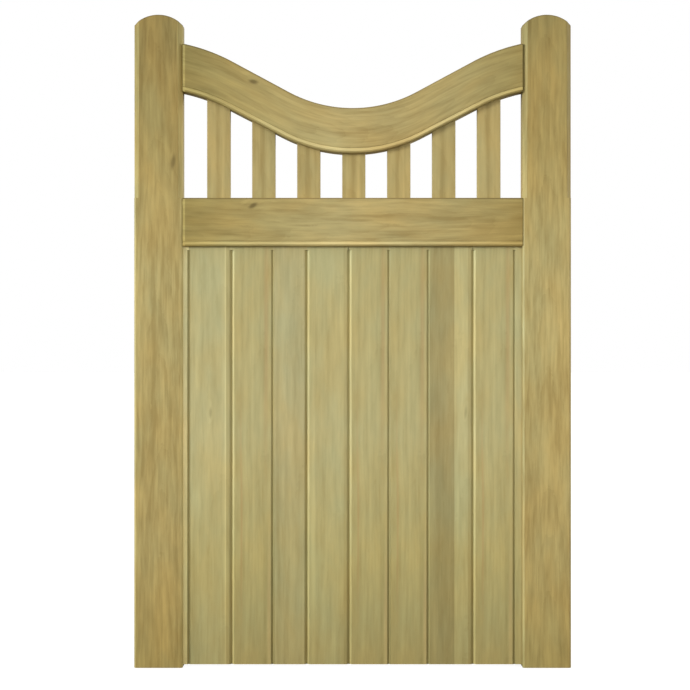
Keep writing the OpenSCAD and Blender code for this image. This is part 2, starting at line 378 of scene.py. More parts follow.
def softwood(
    name, tones, span, pith, lean, ring=4.5, warp=4.0, figure=1.0, knots=(), streaks=(), blush=()
):
    """Planed, pressure-treated softwood.

    tones are (share of the length, colour) along span, the grain's first and last metre; pith
    is the heart's place across and through the grain in mm, and lean its angle in degrees;
    ring is the width of a year's growth in mm. Knots and streaks are (spot, amount): a knot's
    amount is the depth of its colour, and a streak's is how much lighter or darker the wood is.
    blush is the same for a pinker stripe.
    """
    made = bpy.data.materials.new(name)
    made.use_nodes = True
    tree = made.node_tree
    surface = tree.nodes["Principled BSDF"]
    grain = add(tree, "ShaderNodeAttribute", attribute_name="grain").outputs["Vector"]
    tint = add(tree, "ShaderNodeAttribute", attribute_name="tint").outputs["Color"]
    log = add(tree, "ShaderNodeAttribute", attribute_name="log").outputs["Fac"]
    row = add(tree, "ShaderNodeCombineXYZ", {"X": log}).outputs[0]
    in_log = add(tree, "ShaderNodeVectorMath", {0: grain, 1: row}, operation="ADD").outputs[0]
    moved, moved_in_log = bent(tree, grain, in_log, warp)

    # Each knot pushes the rings aside, out to about three times its own size.
    wide_spots = [(*spot[:3], spot[3] * 3, spot[4] * 2.5, spot[5]) for spot, depth in knots]
    swirl = total(tree, [soft_patch(tree, moved_in_log, spot, 5.0) for spot in wide_spots])
    latewood = growth_rings(tree, moved, pith, lean, ring, swirl)
    noise, hue = layered_noise(tree, moved_in_log)
    start = total(tree, [soft_patch(tree, moved_in_log, *streak) for streak in streaks], 0.5)
    shade = light_and_dark(tree, start, latewood, noise, figure)

    along = add(tree, "ShaderNodeSeparateXYZ", {0: grain}).outputs["Z"]
    ranges = {"From Min": span[0], "From Max": span[1]}
    place = add(tree, "ShaderNodeMapRange", {"Value": along, **ranges}).outputs[0]
    tone = fill_ramp(add(tree, "ShaderNodeValToRGB", {"Fac": place}), tones)
    colour = tone.outputs["Color"]
    # The tint carries painted light and shade on some faces as well as each timber's own tone
    for factor in (shade, hue, tint):
        both = {0: colour, 1: factor}
        colour = add(tree, "ShaderNodeVectorMath", both, operation="MULTIPLY").outputs[0]
    scaled = {0: colour, "Scale": 4.0}
    colour = add(tree, "ShaderNodeVectorMath", scaled, operation="SCALE").outputs[0]
    pinker = [soft_patch(tree, moved_in_log, *stripe) for stripe in blush]
    hearts = [soft_patch(tree, moved_in_log, *knot, core=0.2) for knot in knots]
    for patches, hex_colour in ((pinker, PINK_STRIPE), (hearts, KNOT_HEART)):
        if patches:
            mixed = {"Factor": total(tree, patches), "A": colour, "B": linear(hex_colour)}
            colour = add(tree, "ShaderNodeMix", mixed, data_type="RGBA").outputs["Result"]
    tree.links.new(colour, surface.inputs["Base Color"])

    raised = {0: latewood, 1: 0.5, 2: noise["fibres"]}
    relief = add(tree, "ShaderNodeMath", raised, operation="MULTIPLY_ADD").outputs[0]
    shallow = {"Height": relief, "Strength": 0.25, "Distance": 0.5 * MM}
    bump = add(tree, "ShaderNodeBump", shallow)
    tree.links.new(bump.outputs[0], surface.inputs["Normal"])
    ranges = {"From Min": 0.0, "From Max": 1.0, "To Min": 0.54, "To Max": 0.72}
    dull = add(tree, "ShaderNodeMapRange", {"Value": noise["fibres"], **ranges})
    tree.links.new(dull.outputs[0], surface.inputs["Roughness"])
    surface.inputs["IOR"].default_value = 1.45
    surface.inputs["Specular IOR Level"].default_value = 0.3
    print(name, "has", len(tree.nodes), "nodes")
    return made


# %% [markdown]
# ## The finishes
# Timbers of one kind share a recipe: the stiles are a matched pair, the two moulded rails come
# from one board, and the pales from one plank. Each recipe lists the few knots and streaks
# that the eye would pick out. A streak is a soft patch of lighter or darker wood, a long one
# where the saw followed a ring and a short one where it crossed a swelling in the trunk.

# %% Finish of the stiles
stile_wood = softwood(
    "stile_pressure_treated_pine",
    tones=[(0.0, "#9d894e"), (0.2, "#ac985e"), (0.6, "#b7a56b"), (0.8, "#a79358"), (1, "#97844c")],
    span=(0, 1.345),
    figure=1.35,
    pith=(8, 95),
    lean=(1.6, 0.5),
    knots=[(("left stile", 30, 1042, 7, 23, 6), 0.6)],
    streaks=[
        (("left stile", -10, 680, 9, 400, 0), -0.34),
        (("left stile", 28, 1170, 6, 130, 0), 0.32),
        (("left stile", -38, 1220, 9, 140, 0), -0.22),
        (("left stile", 22, 1060, 7, 26, -10), 0.45),
        (("right stile", 6, 560, 9, 380, 0), -0.3),
        (("right stile", -22, 1150, 7, 150, 0), -0.25),
    ],
)

# %% Finish of the moulded rails
rail_wood = softwood(
    "rail_pressure_treated_pine",
    tones=[
        (0.0, "#98864b"),
        (0.18, "#a8955b"),
        (0.45, "#b5a26a"),
        (0.8, "#ac9961"),
        (1, "#9c894f"),
    ],
    span=(-0.35, 0.35),
    pith=(-12, 80),
    lean=(2.2, -1.0),
    warp=7,
    figure=1.2,
    knots=[
        (("middle rail", 34, -205, 6, 14, 20), 0.75),
        (("top rail", 30, -204, 6, 15, 20), 0.75),
    ],
    streaks=[
        (("middle rail", -2, -90, 5, 95, 2), -0.34),
        (("middle rail", -2, 88, 5, 34, 0), -0.3),
        (("middle rail", -21, 108, 4, 50, 0), -0.35),
        (("middle rail", -33, -285, 7, 120, 0), 0.75),
        (("middle rail", 2, -315, 30, 70, 0), -0.35),
        (("middle rail", -24, -275, 3, 90, -3), -0.4),
        (("middle rail", 41, -222, 5, 14, 20), 0.5),
        (("middle rail", 10, 230, 5, 90, 3), -0.35),
        (("middle rail", -14, 215, 4, 70, -2), 0.35),
        (("top rail", 38, -222, 5, 14, 20), 0.5),
        (("top rail", 30, -150, 6, 120, 0), 0.3),
        (("top rail", -6, 40, 7, 200, 3), -0.3),
        (("top rail", 12, 200, 6, 110, -3), 0.25),
    ],
)

# %% Finish of the pales
pale_wood = softwood(
    "pale_pressure_treated_pine",
    tones=[(0.0, "#b3a169"), (1, "#b3a169")],
    span=(0, 1),
    pith=(1, 60),
    lean=(3.2, 0.6),
    ring=5,
    warp=3,
    figure=0.7,
    streaks=[
        (("pale", -2, 2500, 8, 30000, 0), -0.42),
        (("pale", 9, 2500, 5, 30000, 0), 0.18),
        (("pale", -14, 2500, 6, 30000, 0), 0.12),
    ],
)

# %% Finish of the boards
board_wood = softwood(
    "board_pressure_treated_pine",
    tones=[(0.0, "#9e925d"), (0.25, "#ada26b"), (0.55, "#b8ad79"), (1, "#b5ab77")],
    span=(0, 0.88),
    pith=(30, 160),
    lean=(0.9, 0.8),
    ring=5.5,
    warp=2.5,
    figure=0.72,
    knots=[
        (("sap plank", -3, 525, 4, 16, 2), 0.3),
        (("heart plank", 28, 525, 4, 18, 4), 0.25),
    ],
    streaks=[
        (("sap plank", -20, 450, 10, 600, 0), -0.15),
        (("sap plank", 26, 450, 9, 600, 0), 0.2),
        (("pink plank", 24, 440, 9, 900, 0), -0.25),
        (("pink plank", -16, 440, 7, 900, 0), 0.25),
        (("pink plank", -1, 500, 4, 600, 0), 0.18),
        (("pink plank", -26, 250, 4, 300, 0), -0.2),
        (("grey plank", 0, 330, 12, 480, 0), 0.3),
        (("grey plank", -27, 330, 7, 480, 0), -0.25),
        (("green plank", -33, 280, 8, 380, 0), 0.6),
        (("green plank", -12, 400, 6, 300, 0), -0.12),
        (("heart plank", -20, 250, 26, 400, 0), -0.25),
    ],
    blush=[
        (("pink plank", 26, 700, 8, 420, 0), 0.3),
        (("pink plank", 32, 120, 6, 220, 0), 0.25),
        (("pink plank", -26, 330, 4, 330, 0), 0.3),
    ],
)

# %% Finishes of the back and the wedges
back_wood = softwood(
    "back_rail_pressure_treated_pine",
    tones=[(0.0, "#a08d55"), (0.5, "#b09d66"), (1, "#a08d55")],
    span=(-0.5, 0.5),
    pith=(10, -70),
    lean=(1.4, 0.7),
    knots=[
        (("bottom rail", 15, -120, 7, 12, 5), 0.7),
        (("brace", -12, 130, 8, 13, -6), 0.7),
    ],
    streaks=[
        (("bottom rail", -10, 60, 8, 200, 0), -0.3),
        (("brace", 10, -60, 8, 260, 0), -0.3),
    ],
)
wedge_wood = softwood(
    "wedge_pressure_treated_pine",
    tones=[(0.0, "#8f7c48"), (1, "#8f7c48")],
    span=(0, 1),
    pith=(2, 9),
    lean=(0, 0),
    ring=3,
)

# %% [markdown]
# ## From a bench of shapes to finished timbers
# Every timber goes through the same last steps. Its grain is laid while it is still straight,
# its normals are made to point outwards, its slopes under 40 degrees are shaded smooth, and
# the Weighted Normal modifier keeps the wide planed faces flat while the narrow eased arrises
# carry the roundness. It rides on the gate's one body and stands for its CAD node.


# %% Helpers for timbers
def lay_grain(bm, log, across, along, centre=Vector((0, 0, 0)), tint=(1, 1, 1)):
    """Writes each vertex's place in its timber, the timber's log, and a tint on each face."""
    grain = bm.verts.layers.float_vector.new("grain")
    logs = bm.verts.layers.float.new("log")
    through = across.cross(along)
    for v in bm.verts:
        place = v.co - centre
        v[grain] = (place.dot(across), place.dot(through), place.dot(along))
        v[logs] = LOG[log]
    tints = bm.faces.layers.float_color.new("tint")
    for face in bm.faces:
        face[tints] = (*tint, 1)
    return tints


def ease(bm, edges, radius, segments=2):
    """Rounds arrises off; the radius is in mm."""
    return bmesh.ops.bevel(
        bm,
        geom=list(edges),
        offset=radius * MM,
        offset_type="OFFSET",
        affect="EDGES",
        segments=segments,
        profile=0.5,
        material=-1,
    )


def block(bm, low, high):
    """Adds a block between two corners given in mm."""
    low, high = Vector(low) * MM, Vector(high) * MM
    size = Matrix.Diagonal((high - low).to_4d())
    bmesh.ops.create_cube(bm, size=1, matrix=Matrix.Translation((low + high) / 2) @ size)


def copy_of(node):
    """The CAD node's shape as one merged skin, with its flat faces whole again."""
    bm = bmesh.new()
    bm.from_mesh(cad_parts[node].data)
    bmesh.ops.remove_doubles(bm, verts=bm.verts, dist=0.01 * MM)
    bmesh.ops.dissolve_limit(
        bm,
        angle_limit=math.radians(0.3),
        use_dissolve_boundaries=False,
        verts=bm.verts,
        edges=bm.edges,
    )
    return bm


def arrises(bm, direction=None, longest=0, corner=40):
    """Convex edges sharper than a corner angle, along one direction if it is given."""
    found = []
    for edge in bm.edges:
        if not edge.is_manifold or not edge.is_convex or edge.calc_length() < longest * MM:
            continue
        if edge.calc_face_angle() < math.radians(corner):
            continue
        line = (edge.verts[1].co - edge.verts[0].co).normalized()
        if direction is None or abs(line.dot(direction)) > 0.999:
            found.append(edge)
    return found


def finish_timber(name, bm, wood, slot, *nodes):
    """Turns a bmesh into a finished timber that stands for these CAD nodes."""
    bmesh.ops.recalc_face_normals(bm, faces=bm.faces)
    mesh = bpy.data.meshes.new(name)
    bm.to_mesh(mesh)
    bm.free()
    mesh.polygons.foreach_set("use_smooth", [True] * len(mesh.polygons))
    mesh.set_sharp_from_angle(angle=math.radians(40))
    mesh.materials.append(wood)
    piece = bpy.data.objects.new(name, mesh)
    scene.collection.objects.link(piece)
    piece.modifiers.new("flat faces stay flat", "WEIGHTED_NORMAL").keep_sharp = True
    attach(piece, "root")
    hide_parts(*nodes)
    return piece


X, Y, Z = Vector((1, 0, 0)), Vector((0, 1, 0)), Vector((0, 0, 1))
# Tint of the thin darker lines along the stiles' crowns and the rails' upper arrises
DARKER_ARRIS_TINT = (0.62, 0.6, 0.55)
print("helpers for timbers are ready")

# %% [markdown]
# ## Sizes that the timbers share
# The CAD model sets these, in millimetres, and the shapes below must meet it. Each edge of the
# top rail is an arc, a straight run and a second arc, mirrored about the middle of the gate.

# %% Shared sizes
HALF_W, HALF_T, OPENING, GATE_H = 450, 22.5, 350, 1345
MIDDLE_Z, MIDDLE_DEPTH = 868, 100
BOTTOM_Z, BOTTOM_DEPTH = 30, 120
BOARD_FRONT, BOARD_BACK, GROOVE = -12.5, 2.5, 12
# Each edge: height at the middle, valley radius, slope, straight run, shoulder radius
UPPER_EDGE = (1153, 278, 28.3, 131, 380)
LOWER_EDGE = (1060, 316, 27.3, 130, 364)


def edge_height(edge, x, raised=0):
    """Height of a swan-neck edge at x, raised square to itself, all in mm."""
    z0, valley_r, slope, straight, shoulder_r = edge
    z0, valley_r, shoulder_r = z0 + raised, valley_r - raised, shoulder_r + raised
    slope, x = math.radians(slope), min(abs(x), OPENING)
    valley_x = valley_r * math.sin(slope)
    valley_z = z0 + valley_r * (1 - math.cos(slope))
    shoulder_x = valley_x + straight * math.cos(slope)
    shoulder_z = valley_z + straight * math.sin(slope)
    if x <= valley_x:
        return z0 + valley_r - math.sqrt(valley_r**2 - x**2)
    if x <= shoulder_x:
        return valley_z + (x - valley_x) * math.tan(slope)
    centre_x = shoulder_x + shoulder_r * math.sin(slope)
    centre_z = shoulder_z - shoulder_r * math.cos(slope)
    return centre_z + math.sqrt(shoulder_r**2 - (centre_x - x) ** 2)


TOP_END_LOW, TOP_END_HIGH = (edge_height(edge, OPENING) for edge in (LOWER_EDGE, UPPER_EDGE))
TENON_T, TENON_INSET = 15, 15
# Each tenon: its lower end, upper end and front face
TENONS = {
    "top": (TOP_END_LOW + TENON_INSET, TOP_END_HIGH - TENON_INSET, -TENON_T / 2),
    "middle": (MIDDLE_Z + TENON_INSET, MIDDLE_Z + MIDDLE_DEPTH - TENON_INSET, -TENON_T / 2),
    "bottom": (BOTTOM_Z + TENON_INSET, BOTTOM_Z + BOTTOM_DEPTH - TENON_INSET, BOARD_BACK),
}
print("the top rail meets the stiles from", round(TOP_END_LOW, 1), "to", round(TOP_END_HIGH, 1))

# %% [markdown]
# ## Stiles
# The two uprights are 100 by 45 mm. Both front arrises have a small chamfer, and above the
# middle rail a router has run a wider one, which stops square on the rail's upper edge. A block
# with bevelled arrises gives the section, and the Boolean modifier takes off the wide chamfers.
# Cutting the block into narrow columns and dropping the top of each column onto an arc shapes
# the crown, chamfers and all. A thin line along its edge is tinted darker. The chamfers carry
# painted light: a painted highlight on those that face left, and the left stile's inner chamfer
# lightened out of its shade. The mortises for the wedged tenons and the groove for the boards
# are cut last, as a chisel and a plough plane would after the planing.

# %% Stiles
CHAMFER, LOW_CHAMFER, BACK_CHAMFER = 9, 3.5, 3
CROWN_R, CROWN_LINE, CROWN_COLUMNS = 70, 1.6, 28
# Every edge of the crown lies in this depth at the top of the stile
CROWN_DEPTH = 30
# Rounding of the chamfers' ridges above and below, of the crown's rim and of the foot
UPPER_RIDGE_R, LOWER_RIDGE_R, RIM_R, FOOT_R = 1.8, 0.8, 0.6, 1.0
# Painted light on the chamfers, by stile and by the side that each chamfer faces: a painted
# highlight on those that face left, and the left stile's inner, right-facing chamfer lightened out
# of its shade
PAINTED_CHAMFER_LIGHT = {
    ("left", -1): (1.27, 1.38, 1.58),
    ("left", 1): (1.33, 1.4, 1.55),
    ("right", -1): (1.14, 1.27, 1.54),
}
# Each wedge: its length, its height at the thick end, and its height at the tip
WEDGE_L, WEDGE_H, WEDGE_TIP = 60, 7, 1


def column_cuts(bm, places, normal):
    """Cuts right through the timber at each place, in mm along the normal."""
    for place in places:
        everything = bm.verts[:] + bm.edges[:] + bm.faces[:]
        bmesh.ops.bisect_plane(bm, geom=everything, plane_co=normal * place * MM, plane_no=normal)


def cut_away(bm, cutters):
    """Takes the cutters' shape out of the timber with an exact Boolean."""
    meshes = []
    for name, shape in (("timber", bm), ("cutter", cutters)):
        bmesh.ops.recalc_face_normals(shape, faces=shape.faces)
        mesh = bpy.data.meshes.new(name)
        shape.to_mesh(mesh)
        meshes.append(bpy.data.objects.new(name, mesh))
        scene.collection.objects.link(meshes[-1])
    timber, cutter = meshes
    boolean = timber.modifiers.new("mortises", "BOOLEAN")
    boolean.object, boolean.solver = cutter, "EXACT"
    result = timber.evaluated_get(bpy.context.evaluated_depsgraph_get()).to_mesh()
    bm.clear()
    bm.from_mesh(result)
    cutters.free()
    for used in meshes:
        mesh = used.data
        bpy.data.objects.remove(used)
        bpy.data.meshes.remove(mesh)


for side, sign in (("left", -1), ("right", 1)):
    bm = bmesh.new()
    inner, outer = sorted((sign * OPENING, sign * HALF_W))
    block(bm, (inner, -HALF_T, 0), (outer, HALF_T, GATE_H))
    uprights = arrises(bm, Z)
    front = [e for e in uprights if e.verts[0].co.y < 0]
    back = [e for e in uprights if e.verts[0].co.y > 0]
    ease(bm, front, LOW_CHAMFER, 1)
    ease(bm, back, BACK_CHAMFER, 1)
    for arris in (inner, outer):
        cutters = bmesh.new()
        half = CHAMFER / math.sqrt(2)
        block(cutters, (-half, -half, MIDDLE_Z + MIDDLE_DEPTH), (half, half, GATE_H + 5))
        bmesh.ops.rotate(cutters, verts=cutters.verts, matrix=Matrix.Rotation(math.pi / 4, 3, "Z"))
        bmesh.ops.translate(cutters, verts=cutters.verts, vec=Vector((arris, -HALF_T, 0)) * MM)
        cut_away(bm, cutters)
    for above, radius in ((True, UPPER_RIDGE_R), (False, LOWER_RIDGE_R)):
        ridges = [e for e in arrises(bm, Z, longest=200, corner=20) if e.verts[0].co.y < 0]
        middles = [(e, (e.verts[0].co.z + e.verts[1].co.z) / 2) for e in ridges]
        ease(bm, [e for e, z in middles if (z > MIDDLE_Z * MM) == above], radius, 3)
    middle = sign * (HALF_W + OPENING) / 2
    steps = range(1 - CROWN_COLUMNS // 2, CROWN_COLUMNS // 2)
    column_cuts(bm, [middle + step * (HALF_W - OPENING) / CROWN_COLUMNS for step in steps], X)
    column_cuts(bm, [GATE_H - CROWN_LINE], Z)
    for v in bm.verts:
        if v.co.z > (GATE_H - CROWN_LINE - 1) * MM:
            v.co.z -= (CROWN_R - math.sqrt(CROWN_R**2 - (v.co.x / MM - middle) ** 2)) * MM
    rim = [
        e
        for e in bm.edges
        if min(v.co.z for v in e.verts) > (GATE_H - CROWN_DEPTH) * MM
        and e.calc_face_angle(0) > math.radians(40)
    ]
    ease(bm, rim, RIM_R)
    foot = [e for e in arrises(bm) if max(v.co.z for v in e.verts) < 1 * MM]
    ease(bm, foot, FOOT_R)

    cutters = bmesh.new()
    low_x, high_x = sorted((sign * (OPENING - 5), sign * (OPENING + GROOVE)))
    block(cutters, (low_x, BOARD_FRONT, -5), (high_x, BOARD_BACK, MIDDLE_Z + GROOVE))
    cut_away(bm, cutters)
    for low, high, front_y in TENONS.values():
        cutters = bmesh.new()
        low_x, high_x = sorted((sign * (OPENING - 5), sign * (HALF_W + 5)))
        block(cutters, (low_x, front_y, low), (high_x, front_y + TENON_T, high))
        cut_away(bm, cutters)
        for edge_z, way in ((low, -1), (high, 1)):
            cutters = bmesh.new()
            block(cutters, (-1, front_y, -1), (1, front_y + TENON_T, 1))
            for v in cutters.verts:
                far_x = HALF_W + 5 if v.co.x > 0 else HALF_W - WEDGE_L
                slope = (WEDGE_H - WEDGE_TIP) / WEDGE_L
                height_here = WEDGE_TIP + slope * (far_x - (HALF_W - WEDGE_L))
                v.co.x = sign * far_x * MM
                v.co.z = (edge_z + (way * height_here if v.co.z * way > 0 else -2 * way)) * MM
            cut_away(bm, cutters)
    tints = lay_grain(bm, side + " stile", X, Z, centre=X * middle * MM)
    bm.normal_update()
    for face in bm.faces:
        place = face.calc_center_median() / MM
        arc = math.sqrt(CROWN_R**2 - (place.x - middle) ** 2)
        if place.z > GATE_H - CROWN_R + arc - CROWN_LINE:
            face[tints] = (*DARKER_ARRIS_TINT, 1)
        # Painted light: chamfers that face left get a painted highlight, and the left stile's
        # right-facing chamfer is lightened out of its shade
        elif abs(face.normal.x) > 0.3 and face.normal.y < -0.3:
            facing = 1 if face.normal.x > 0 else -1
            face[tints] = (*PAINTED_CHAMFER_LIGHT.get((side, facing), (1, 1, 1)), 1)
    stile = finish_timber(
        "stile_" + side + "_timber", bm, stile_wood, "frame_timber", "stile_" + side
    )
    print(stile.name, len(stile.data.polygons), "faces")

# %% [markdown]
# ## Moulded rails
# The middle rail and the top rail have one section: a flat face, eased arrises above, and a
# round bead along the lower front edge, set off by a shallow sinking. The section is drawn
# once as a flat face, its corners are rounded by a vertex bevel, and it is pushed along the
# gate. The top rail's swan neck is an arc, a straight run and a second arc, mirrored. A real
# one is sawn from a wide board, but here the straight bar is bent, so that the bead stays
# parallel to the lower edge and the grain flows with the curve. The tenons are blocks on the
# ends of the bar.

# %% Moulded rails
BEAD_H, BEAD_FLAT, BEAD_R, QUIRK_D = 11, 4.5, 4.0, 1.3
ARRIS_R, RAIL_STEP = 1.2, 5
# Widths of the darker line along the upper arris and of the painted highlight at the left shoulder
ARRIS_LINE, END_LINE = 2.6, 4
# Tint of the painted highlight on the bead's upper slope and at the rails' left shoulder
PAINTED_BEAD_HIGHLIGHT = (1.45, 1.5, 1.64)
# Only faces this close to the front are tinted
FRONT_SKIN = 7.5
# How far a tenon stands proud of the stile, runs back into the rail, and clears its mortise
PROUD, ROOT, CLEARANCE = 0.3, 8, 0.1


def moulded_bar(depth):
    """A straight bar of the rails' section, lying on z = 0."""
    bm = bmesh.new()
    f, b = -HALF_T, HALF_T
    section = [
        (b, 0), (f, 0), (f, BEAD_FLAT), (f + QUIRK_D / 2, BEAD_H - 3), (f + QUIRK_D, BEAD_H - 0.6),
        (f, BEAD_H), (f, depth - ARRIS_LINE), (f, depth), (b, depth),
    ]  # fmt: skip
    corners = [bm.verts.new(Vector((-OPENING, y, z)) * MM) for y, z in section]
    face = bm.faces.new(corners)
    bead, others = (1,), (0, 7, 8)
    for which, radius, segments in ((bead, BEAD_R, 4), (others, ARRIS_R, 2)):
        bmesh.ops.bevel(
            bm,
            geom=[corners[i] for i in which],
            offset=radius * MM,
            offset_type="OFFSET",
            affect="VERTICES",
            segments=segments,
            profile=0.5,
            material=-1,
        )
    face = bm.faces[:][0]
    pushed = bmesh.ops.extrude_face_region(bm, geom=[face], use_keep_orig=True)["geom"]
    moved = [v for v in pushed if isinstance(v, bmesh.types.BMVert)]
    bmesh.ops.translate(bm, verts=moved, vec=X * 2 * OPENING * MM)
    lengthwise = [e for e in bm.edges if e.calc_length() > 600 * MM]
    bmesh.ops.subdivide_edges(
        bm, edges=lengthwise, cuts=2 * OPENING // RAIL_STEP - 1, use_grid_fill=True
    )
    return bm


def add_tenons(bm, low, high, front_y):
    """Adds the two through tenons, a hair proud, as they are before the last planing."""
    front, back = front_y + CLEARANCE, front_y + TENON_T - CLEARANCE
    for sign in (-1, 1):
        near, far = sorted((sign * (OPENING - ROOT), sign * (HALF_W + PROUD)))
        tenon = bmesh.new()
        block(tenon, (near, front, low + CLEARANCE), (far, back, high - CLEARANCE))
        end = [e for e in arrises(tenon) if e.verts[0].co.x * sign > OPENING * MM]
        ease(tenon, end, 0.6, 1)
        mesh = bpy.data.meshes.new("tenon")
        tenon.to_mesh(mesh)
        tenon.free()
        bm.from_mesh(mesh)
        bpy.data.meshes.remove(mesh)


for name, depth in (("top", TOP_END_HIGH - TOP_END_LOW), ("middle", MIDDLE_DEPTH)):
    bm = moulded_bar(depth)
    low, high, front_y = TENONS[name]
    base = TOP_END_LOW if name == "top" else MIDDLE_Z
    add_tenons(bm, low - base, high - base, front_y)
    tints = lay_grain(bm, name + " rail", Z, X, centre=Z * depth / 2 * MM)
    for face in bm.faces:
        middle = face.calc_center_median() / MM
        if middle.y > -HALF_T + FRONT_SKIN:
            continue
        if middle.z > depth - ARRIS_LINE:
            face[tints] = (*DARKER_ARRIS_TINT, 1)
        # Painted highlight on the bead's upper slope and on a thin strip at the left shoulder
        elif BEAD_FLAT < middle.z < BEAD_H - 1 or -OPENING < middle.x < END_LINE - OPENING:
            face[tints] = (*PAINTED_BEAD_HIGHLIGHT, 1)
    for v in bm.verts:
        x, h = v.co.x / MM, v.co.z / MM
        if name == "middle":
            v.co.z += MIDDLE_Z * MM
        elif h <= BEAD_H:
            v.co.z = edge_height(LOWER_EDGE, x, h) * MM
        else:
            start = edge_height(LOWER_EDGE, x, BEAD_H)
            share = (h - BEAD_H) / (depth - BEAD_H)
            v.co.z = (start + share * (edge_height(UPPER_EDGE, x) - start)) * MM
    rail = finish_timber(name + "_rail_timber", bm, rail_wood, "frame_timber", name + "_rail")
    print(rail.name, len(rail.data.polygons), "faces")

# %% [markdown]
# ## Pales
# Seven slim uprights stand in housings in both rails. Their CAD shape is right, so each is a
# merged copy of its node with its arrises eased. They were ripped from one plank, so each has
# the same dark line of heart down its middle, and takes the next length of that plank. Each
# is a shade lighter or darker than its neighbours.

# %% Pales
PALES, PALE_PITCH, PALE_SHIFT, PALE_ARRIS_R = 7, 93, 2.5, 1.2
PLANK_STEP, TONE_SPREAD = 0.4, 0.02
for n in range(1, PALES + 1):
    bm = copy_of("pale_%d" % n)
    ease(bm, arrises(bm, Z), PALE_ARRIS_R)
    centre_x = ((n - (PALES + 1) // 2) * PALE_PITCH + PALE_SHIFT) * MM
    tone = 1 + TONE_SPREAD * math.sin(5 * n)
    centre = Vector((centre_x, 0, -PLANK_STEP * n))
    lay_grain(bm, "pale", X, Z, centre=centre, tint=(tone,) * 3)
    finish_timber("pale_%d_timber" % n, bm, pale_wood, "frame_timber", "pale_%d" % n)
print(PALES, "pales")

# %% [markdown]
# ## Boards
# Ten tongued and grooved boards fill the lower part, and their V joints stop a little below
# the middle rail. Four boards are alike, as boards sawn one above the other from one log are.
# The others differ: one is greener, one full board and both end strips are greyer, one keeps
# a light line of sapwood, and one has a dark band of heartwood along one side. A board with
# such a stripe is cut along its length, so that each part of the face can have its own tint.
# The same cuts carry painted light: the left end strip is lit up with paint where the left
# stile's shadow falls, and the face just left of three of the wide joints has a strip of
# painted shade, with a thin painted highlight beside the first.
# The flanks of the joints carry painted light: painted shade on those that face right, a painted
# highlight on those of the wide joints that face left, and a little painted shade on those of
# the narrow joints that face left.

# %% Boards
BOARDS = [
    ("grey plank", (1.02, 1.02, 1.04)),
    ("sap plank", (1.05, 1.06, 1.09)),
    ("pink plank", (0.98, 0.95, 0.9)),
    ("grey plank", (0.97, 0.97, 1.02)),
    ("green plank", (1.0, 1.0, 1.0)),
    ("pink plank", (0.98, 0.95, 0.9)),
    ("pink plank", (0.97, 0.94, 0.89)),
    ("heart plank", (1.06, 1.07, 1.09)),
    ("pink plank", (0.97, 0.94, 0.89)),
    ("grey plank", (1.02, 1.02, 1.04)),
]
# Stripes on a board's face, some of them painted light and shade: from, to and colour, by the
# board's number
STRIPES_AND_PAINTED_LIGHT = {
    # Painted light on the narrow end strip, where the left stile's shadow falls
    1: [(-350, -338, (1.85, 1.88, 2.1))],
    # A painted highlight, then painted shade, just left of the first wide joint
    2: [(-264, -261, (1.22, 1.24, 1.3)), (-261, -254, (0.92, 0.89, 0.84))],
    # Painted shade just left of a wide joint
    5: [(-18, -12, (0.92, 0.89, 0.84))],
    # The dark band of heartwood, then painted shade just left of a wide joint
    8: [(155, 210, (0.81, 0.78, 0.74)), (238, 245, (0.92, 0.89, 0.84))],
}
# The boards whose right-hand V joint is a wide one
WIDE_JOINTS = (2, 4, 5, 8)
# Painted light on the joints' flanks: painted shade facing right, a painted highlight on the wide
# joints' left-facing flanks, and a little painted shade on the narrow joints' left-facing flanks
PAINTED_SHADE_FLANK, PAINTED_DIM_FLANK, PAINTED_HIGHLIGHT_FLANK = (0.86, 0.84, 0.8), (0.95, 0.96, 0.98), (1.4, 1.44, 1.55)
for n, (log, tint) in enumerate(BOARDS, 1):
    node = "board_%d" % n
    low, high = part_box(node)
    bm = copy_of(node)
    ease(bm, arrises(bm, Z, longest=200, corner=30), 0.5)
    stripes_and_light = STRIPES_AND_PAINTED_LIGHT.get(n, [])
    column_cuts(bm, [edge for stripe in stripes_and_light for edge in stripe[:2]], X)
    tints = lay_grain(bm, log, X, Z, centre=X * (low.x + high.x) / 2, tint=tint)
    bm.normal_update()
    for face in bm.faces:
        normal, x = face.normal, face.calc_center_median().x / MM
        if normal.y > -0.5:
            continue
        # Painted shade on flanks that face right; painted light, by joint, on those that face left
        if normal.x > 0.5:
            face[tints] = (*PAINTED_SHADE_FLANK, 1)
        elif normal.x < -0.5:
            face[tints] = (*(PAINTED_HIGHLIGHT_FLANK if n - 1 in WIDE_JOINTS else PAINTED_DIM_FLANK), 1)
        # Real stripes, and the painted light and shade from the table
        for start, end, colour in stripes_and_light:
            if abs(normal.x) < 0.5 and start < x < end:
                face[tints] = (*colour, 1)
    finish_timber(node + "_timber", bm, board_wood, "board_timber", node)
print(len(BOARDS), "boards")

# %% [markdown]
# ## Bottom rail and brace
# Behind the boards, a rail and a diagonal brace take the screws and stop the leaf from
# dropping. Both are thinner than the frame, so that the boards fit in front of them. They are
# merged copies with eased arrises, and the brace's grain runs along its own slope.

# %% Bottom rail and brace
BACK_ARRIS_R = 1.5
bm = copy_of("bottom_rail")
ease(bm, arrises(bm, X, longest=300), BACK_ARRIS_R)
lay_grain(bm, "bottom rail", Z, X, centre=Z * (BOTTOM_Z + BOTTOM_DEPTH / 2) * MM)
finish_timber("bottom_rail_timber", bm, back_wood, "frame_timber", "bottom_rail")

